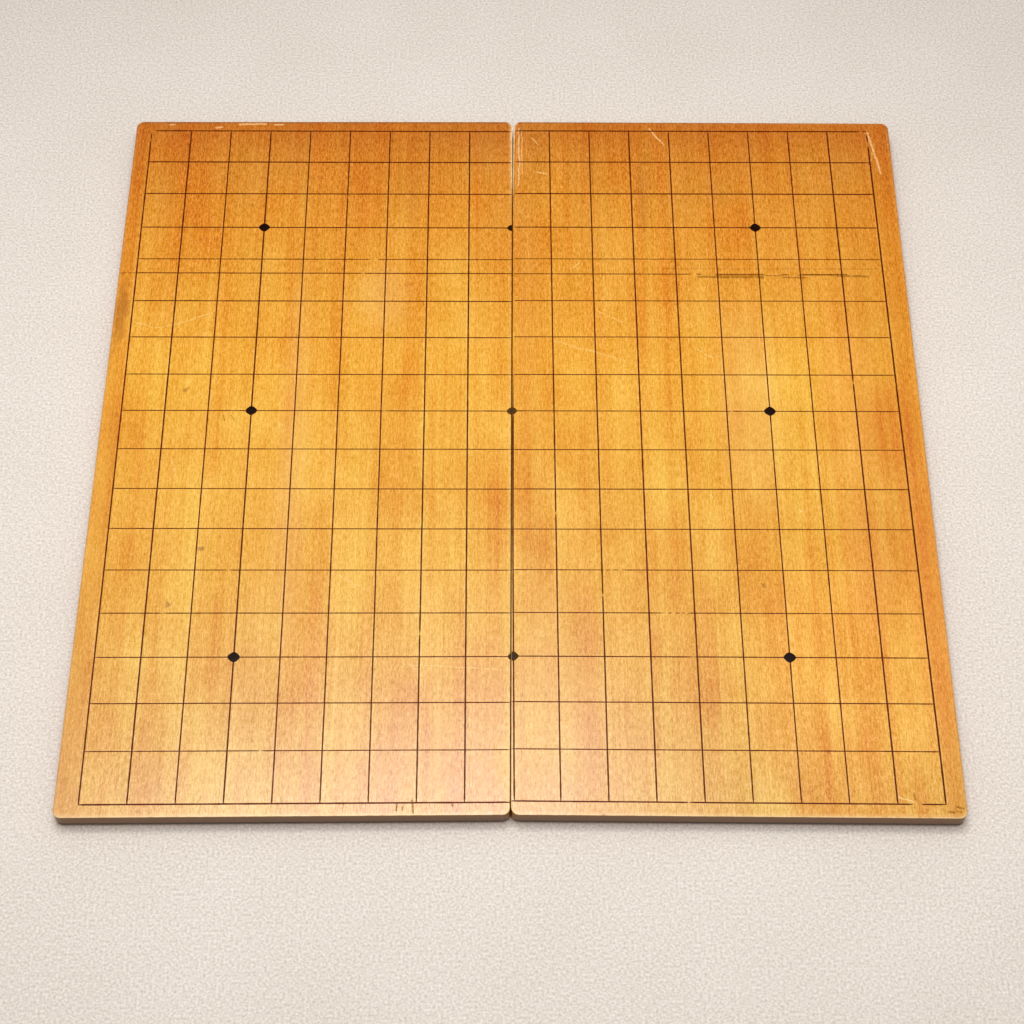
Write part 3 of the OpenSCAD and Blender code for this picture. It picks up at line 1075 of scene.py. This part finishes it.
# Places where the lacquer is gone from a ruled line, in millimetres along it
LOST_LONG = {(LEFT, SIDE_LINES): ((205, 215),), (RIGHT, SIDE_LINES): ((204, 215), (196, 199))}
LOST_CROSS = {
    (LEFT, 0): ((200.0, 203.5),),
    (RIGHT, 0): ((198.5, 200.5),),
    (RIGHT, LAST_ROW): ((187, 191),),
    (LEFT, EVEN_ROWS - 1): ((72, 76),),
    (RIGHT, EVEN_ROWS): ((98, 101), (104, 111), (138, 147), (151, 158), (183, 215)),
    (RIGHT, 13): ((46, 47), (49, 50), (53.5, 55)),
    (RIGHT, 14): ((75, 77), (78.5, 80.5), (82.5, 84), (85, 86.5)),
}

# Cross lines that have faded
FADED_ROWS = {(LEFT, EVEN_ROWS - 1): 0.10, (RIGHT, EVEN_ROWS - 1): 0.16, (RIGHT, EVEN_ROWS): 0.12}

# How far the hand that ruled them put single cross lines off their even places, away from the player
ROW_SHIFTS = {
    LEFT: {
        3: -0.9, 9: 1.0, 10: 1.25, 11: 1.15, 12: 1.5,
        13: 1.55, 14: 1.25, 15: 1.0, 16: 0.2, 17: -0.8,
    },
    RIGHT: {
        3: -0.9, 5: -0.7, 8: -0.4, 9: 0.55, 10: 0.55, 11: 0.65,
        12: 0.9, 13: 1.2, 14: 0.9, 15: 0.65, 17: -1.0,
    },
}

# The cross lines all lean a little, and the near ones droop towards the outer edges
ROW_LEAN = -0.003
NEAR_DROOP = 0.008
DROOP_FROM = -57.0

# Where the line beside the seam starts to fade, and the length over which it goes
FADE_FROM = 5.0
FADE_RUN = 45.0

# Cross lines are bolder at the far end, and every line has its own weight
ROW_GAIN = 0.96
FAR_ROW_GAIN = 0.38
GAIN_SPREAD = 0.10


def row_at(side, row, x):
    """Place of a cross line at a distance from the seam."""
    y = row_y(row)
    near = max(0.0, (DROOP_FROM - y) / (DROOP_FROM + GRID_HALF_D))
    slope = side * ROW_LEAN - NEAR_DROOP * near
    return y + ROW_SHIFTS[side].get(row, 0.0) + slope * (x - HALF_W / 2)


def middle_course(y):
    """Middle of the line on the right leaf that runs into the seam half way along."""
    return max(MIDDLE_LINE_X, seam_edge(RIGHT, y) + LONG_LINE_W / 2)


def middle_wear(y):
    """How far the line beside the seam has faded."""
    return min(1.0, max(0.0, (y - FADE_FROM) / FADE_RUN))


def kept_runs(start, end, lost, draw):
    """The stretches of a line that are left between its gaps."""
    gaps = list(lost)
    place = start
    while place < end:
        if draw.random() < GAP_SHARE:
            first = place + draw.uniform(0, GAP_CELL)
            gaps.append((first, first + draw.uniform(*GAP_LENGTH)))
        place += GAP_CELL
    runs = []
    for low, high in sorted(gaps):
        if low > start:
            runs.append((start, min(low, end)))
        start = max(start, high)
    if start < end:
        runs.append((start, end))
    return [(a, b) for a, b in runs if b - a > SHORTEST_RUN]


def ruled_run(shape, course, start, end, width, phase, top, fading=None):
    """One unbroken stretch of lacquer line, a little uneven in width and course."""
    wear = shape.verts.layers.float["wear"]
    count = max(2, int((end - start) / LINE_STEP))
    rings = []
    for k in range(count + 1):
        run = start + (end - start) * k / count
        middle, across = course(run)
        middle = middle + across * WANDER * noise.noise(Vector((run / WANDER_LENGTH, phase, 2)))
        half = width / 2 * (1 + UNEVENNESS * noise.noise(Vector((run / UNEVEN_LENGTH, phase, 9))))
        if k in (0, count):
            half *= END_SHARE
        crown = max(half - LINE_SLOPE, half * LEAST_CROWN)
        ring = []
        bed = TOP_Z - LINE_BED
        for offset, z in ((-half, bed), (half, bed), (crown, top), (-crown, top)):
            spot = middle + across * offset
            vertex = shape.verts.new((spot.x, spot.y, z))
            vertex[wear] = fading(run) if fading else 0.0
            ring.append(vertex)
        rings.append(ring)
    join_rings(shape, rings)


def long_lines(shape, side):
    across = Vector((-1, 0, 0))
    for number in range(0 if side == RIGHT else 1, SIDE_LINES + 1):
        draw = random.Random(LONG_SEED + SIDE_SEED * side + number)
        weight = LONG_LINE_W * LONG_GAIN * (OUTER_LINE_GAIN if number == SIDE_LINES else 1.0)
        weight *= 1 + draw.uniform(-GAIN_SPREAD, GAIN_SPREAD)
        lost = LOST_LONG.get((side, number), ())

        def course(run):
            x = number * PITCH_X if number else middle_course(run)
            return Vector((x, run, 0)), across

        near_end = row_at(side, LAST_ROW, number * PITCH_X)
        far_end = row_at(side, 0, number * PITCH_X)
        for start, end in kept_runs(near_end, far_end, lost, draw):
            fading = None if number else middle_wear
            phase = number + LONG_PHASE * side
            ruled_run(shape, course, start, end, weight, phase, TOP_Z + LINE_RISE, fading)


def cross_lines(shape, side):
    across = Vector((0, 1, 0))
    for row in range(LINE_COUNT):
        draw = random.Random(CROSS_SEED + SIDE_SEED * side + row)
        y = row_y(row)
        weight = CROSS_LINE_W * (ROW_GAIN + FAR_ROW_GAIN * max(0.0, y / GRID_HALF_D) ** 2)
        weight *= OUTER_ROW_GAIN.get(row, 1.0)
        weight *= 1 + draw.uniform(-GAIN_SPREAD, GAIN_SPREAD)
        lost = LOST_CROSS.get((side, row), ())

        def course(run):
            return Vector((run, row_at(side, row, run), 0)), across

        def fading(run):
            return FADED_ROWS.get((side, row), 0.0)

        for start, end in kept_runs(seam_edge(side, y), GRID_HALF_W, lost, draw):
            phase = row + CROSS_PHASE * side
            ruled_run(shape, course, start, end, weight, phase, TOP_Z + CROSS_RISE, fading)


def line_shape(side):
    shape = bmesh.new()
    shape.verts.layers.float.new("wear")
    long_lines(shape, side)
    cross_lines(shape, side)
    mirror_to(shape, side)
    return shape


def make_lines(side, material):
    name = SIDE_NAMES[side]
    piece = make_piece(name + "_ruled_lines", line_shape(side), material)
    dress(piece, side, name + "_grid_lines")


# Star points
STAR_RINGS = ((1.0, -0.03), (1.0, 0.03), (0.93, 0.07), (0.75, 0.10), (0.4, 0.125))
STAR_SIDES = 48
STAR_UNEVEN = 0.05
STAR_WAVE = 1.5
SOFT_CREASE = 40

# The dots are a little flattened along the board and drawn out towards the lines
STAR_FLATNESS = 0.94
STAR_POWER = 1.42
STAR_GAIN = 1.04

# Those on the seam are smaller, and lie a little to the right
SEAM_STAR_SIZES = (0.74, 0.92, 0.92)
SEAM_STAR_X = 0.6

# How far each star point on the seam has faded, from the far one to the near one
SEAM_STAR_WEAR = {LEFT: (0.02, 0.08, 0.04), RIGHT: (1.0, 0.08, 0.05)}


def star_dot(x, y, seed, size, faded):
    """A slightly domed, slightly uneven round of lacquer."""
    shape = bmesh.new()
    wear = shape.verts.layers.float.new("wear")
    rings = []
    for share, rise in STAR_RINGS:
        ring = []
        for k in range(STAR_SIDES):
            across, along, _ = way_at(k / STAR_SIDES)
            uneven = 1 + STAR_UNEVEN * noise.noise(Vector((across * STAR_WAVE, along * STAR_WAVE, seed)))
            drawn = (abs(across) ** STAR_POWER + abs(along) ** STAR_POWER) ** (-1 / STAR_POWER)
            radius = STAR_D / 2 * size * share * uneven * drawn
            spot = (x + radius * across, y + radius * along * STAR_FLATNESS, TOP_Z + rise)
            vertex = shape.verts.new(spot)
            vertex[wear] = faded
            ring.append(vertex)
        rings.append(ring)
    join_rings(shape, rings)
    return shape


def star_shape(side):
    shape = bmesh.new()
    for column in (0, STAR_STEP):
        for i, row in enumerate((SIDE_LINES - STAR_STEP, SIDE_LINES, SIDE_LINES + STAR_STEP)):
            x = column * PITCH_X if column else side * SEAM_STAR_X
            y = row_at(side, row, x)
            faded = 0.0 if column else SEAM_STAR_WEAR[side][i]
            size = STAR_GAIN if column else SEAM_STAR_SIZES[i]
            dot = star_dot(x, y, row + 20 * column + 70 * side, size, faded)
            if column == 0:
                edge = (seam_edge(side, y), 0, 0)
                cut = bmesh.ops.bisect_plane(
                    dot, geom=dot.verts[:] + dot.edges[:] + dot.faces[:],
                    plane_co=edge, plane_no=(1, 0, 0), clear_inner=True,
                )
                rim = [e for e in cut["geom_cut"] if isinstance(e, bmesh.types.BMEdge)]
                bmesh.ops.edgeloop_fill(dot, edges=rim)
            mesh = bpy.data.meshes.new("dot")
            dot.to_mesh(mesh)
            dot.free()
            shape.from_mesh(mesh)
            bpy.data.meshes.remove(mesh)
    mirror_to(shape, side)
    return shape


def make_stars(side, material):
    name = SIDE_NAMES[side]
    piece = make_piece(name + "_star_dots", star_shape(side), material)
    smooth(piece, SOFT_CREASE)
    dress(piece, side, name + "_star_points")


# Feet
FOOT_SIDES = 72
FOOT_FUZZ = 0.015
FUZZ_WAVE = 9
FUZZ_LEVEL = 4
FOOT_PROFILE = ((0.93, 0.0), (0.975, 0.12), (1.0, 0.4), (1.0, 0.8), (0.985, 1.0))


def foot_shape(low, high):
    """A felt disc with a soft lower edge and a fuzzy, uneven side."""
    shape = bmesh.new()
    middle = (low + high) / 2
    radius = (high.x - low.x) / 2
    thick = high.z - low.z
    rings = []
    for share, level in FOOT_PROFILE:
        ring = []
        for k in range(FOOT_SIDES):
            way = way_at(k / FOOT_SIDES)
            spot = way * FUZZ_WAVE + Vector((middle.x, middle.y, level * FUZZ_LEVEL))
            fuzz = 1 - FOOT_FUZZ + FOOT_FUZZ * noise.noise(spot)
            spot = middle + way * radius * share * fuzz
            ring.append(shape.verts.new((spot.x, spot.y, low.z + thick * level)))
        rings.append(ring)
    join_rings(shape, rings)
    return shape


def make_foot(side, end, material):
    node = f"{SIDE_NAMES[side]}_{end}_foot"
    low, high = (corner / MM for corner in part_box(node))
    piece = make_piece(f"{SIDE_NAMES[side]}_{end}_felt", foot_shape(low, high), material)
    smooth(piece, SOFT_CREASE)
    dress(piece, side, node)


# Metal, kept as its solids with softened edges
WELD_REACH = 0.002
BEVEL_STEPS = 2
PLATE_ROUNDING = 0.08
SMALL_ROUNDING = 0.05


def finish_metal(node, material, edge):
    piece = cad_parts[node]
    piece.data.materials.clear()
    piece.data.materials.append(material)
    weld = piece.modifiers.new("weld", "WELD")
    weld.merge_threshold = WELD_REACH * MM
    bevel = piece.modifiers.new("edges", "BEVEL")
    bevel.width = edge * MM
    bevel.segments = BEVEL_STEPS
    bevel.limit_method = "ANGLE"
    bevel.angle_limit = math.radians(SOFT_CREASE)


# Tone of the lacquers and the noise from which they are worn, and brasses, bright and dull
LINE_TONE = linear(78, 25, 0)
LINE_WORN = 0.68
STAR_TONE = linear(20, 5, 2)
STAR_WORN = 0.74
PLATE_BRASS = (linear(214, 172, 92), linear(150, 112, 58))
PIN_BRASS = (linear(222, 184, 108), linear(166, 128, 70))
SCREW_BRASS = (linear(206, 164, 88), linear(138, 102, 52))


def make_object():
    wood = wood_material()
    line_lacquer = lacquer_material("line_lacquer", LINE_TONE, LINE_WORN, LINE_SHINE)
    star_lacquer = lacquer_material("star_lacquer", STAR_TONE, STAR_WORN, STAR_SHINE)
    felt = felt_material()
    hinge_brass = brass_material("hinge_brass", *PLATE_BRASS)
    pin_brass = brass_material("pin_brass", *PIN_BRASS)
    screw_brass = brass_material("screw_brass", *SCREW_BRASS)
    for side in (LEFT, RIGHT):
        make_leaf(side, wood)
        make_lines(side, line_lacquer)
        make_stars(side, star_lacquer)
        for end in ENDS:
            make_foot(side, end, felt)
            hinge = f"{end}_hinge_{SIDE_NAMES[side]}"
            finish_metal(hinge + "_plate", hinge_brass, PLATE_ROUNDING)
            finish_metal(hinge + "_screws", screw_brass, SMALL_ROUNDING)
    for end in ENDS:
        finish_metal(f"{end}_hinge_pin", pin_brass, SMALL_ROUNDING)


# Stage: floor, light and camera
FLOOR_HALF = 4.0


def make_floor():
    mesh = bpy.data.meshes.new("floor")
    corners = [(x * FLOOR_HALF, y * FLOOR_HALF, 0) for x, y in ((-1, -1), (1, -1), (1, 1), (-1, 1))]
    mesh.from_pydata(corners, [], [(0, 1, 2, 3)])
    mesh.materials.append(floor_material())
    floor = bpy.data.objects.new("floor", mesh)
    bpy.context.scene.collection.objects.link(floor)
    floor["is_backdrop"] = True


def make_lamp(name, place, target, width, depth, power, colour):
    data = bpy.data.lights.new(name, "AREA")
    data.shape = "RECTANGLE"
    data.size = width
    data.size_y = depth
    data.energy = power
    data.color = colour
    lamp = bpy.data.objects.new(name, data)
    lamp.location = place
    way = Vector(target) - Vector(place)
    lamp.rotation_euler = way.to_track_quat("-Z", "Y").to_euler()
    bpy.context.scene.collection.objects.link(lamp)


# The room is brightest overhead and behind the board, and dark at the horizon
ROOM_COLOUR = (1.0, 0.97, 0.93, 1.0)
BRIGHT_WAY = (0.0, 0.2, 0.98)
HORIZON_LIGHT = 0.14
CEILING_LIGHT = 0.75

# Lamps: name, place, what they face, width, depth, power and colour
LAMPS = (
    ("overhead", (0.05, -0.20, 1.35), (0.0, -0.05, 0.0), 0.7, 0.5, 5.1, (1.0, 0.98, 0.95)),
    ("window", (-0.157, 0.317, 1.5), (0.0, -0.1, 0.0), 0.65, 0.34, 7.5, (1.0, 1.0, 1.0)),
)


def make_light():
    world = bpy.data.worlds.new("room")
    world.use_nodes = True
    tree = world.node_tree
    background = tree.nodes["Background"]
    background.inputs["Color"].default_value = ROOM_COLOUR
    way = tree.nodes.new("ShaderNodeTexCoord")
    towards = tree.nodes.new("ShaderNodeVectorMath")
    towards.operation = "DOT_PRODUCT"
    towards.inputs[1].default_value = BRIGHT_WAY
    rise = tree.nodes.new("ShaderNodeMapRange")
    rise.inputs["To Min"].default_value = HORIZON_LIGHT
    rise.inputs["To Max"].default_value = CEILING_LIGHT
    tree.links.new(way.outputs["Generated"], towards.inputs[0])
    tree.links.new(towards.outputs["Value"], rise.inputs["Value"])
    tree.links.new(rise.outputs[0], background.inputs["Strength"])
    bpy.context.scene.world = world
    for lamp in LAMPS:
        make_lamp(*lamp)


# The camera stands where the photograph was taken from
CAMERA_PLACE = (-0.0072, -0.6271, 0.9452)
CAMERA_PITCH = 58.199
CAMERA_YAW = 0.747
CAMERA_ROLL = 0.594
CAMERA_LENS = 76.55
CAMERA_SENSOR = 36.0


def make_camera():
    data = bpy.data.cameras.new("camera")
    data.sensor_width = CAMERA_SENSOR
    data.lens = CAMERA_LENS
    camera = bpy.data.objects.new("camera", data)
    turn = (
        Matrix.Rotation(math.radians(-CAMERA_YAW), 4, "Z")
        @ Matrix.Rotation(math.radians(90 - CAMERA_PITCH), 4, "X")
        @ Matrix.Rotation(math.radians(CAMERA_ROLL), 4, "Z")
    )
    camera.matrix_world = Matrix.Translation(CAMERA_PLACE) @ turn
    bpy.context.scene.collection.objects.link(camera)
    bpy.context.scene.camera = camera


def write_sizes():
    rows = {"cad": cad_box, "visual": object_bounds()}
    plain = {name: [list(map(float, corner)) for corner in box] for name, box in rows.items()}


make_object()
make_floor()
make_light()
make_camera()
bpy.context.scene.view_settings.view_transform = "Standard"
write_sizes()
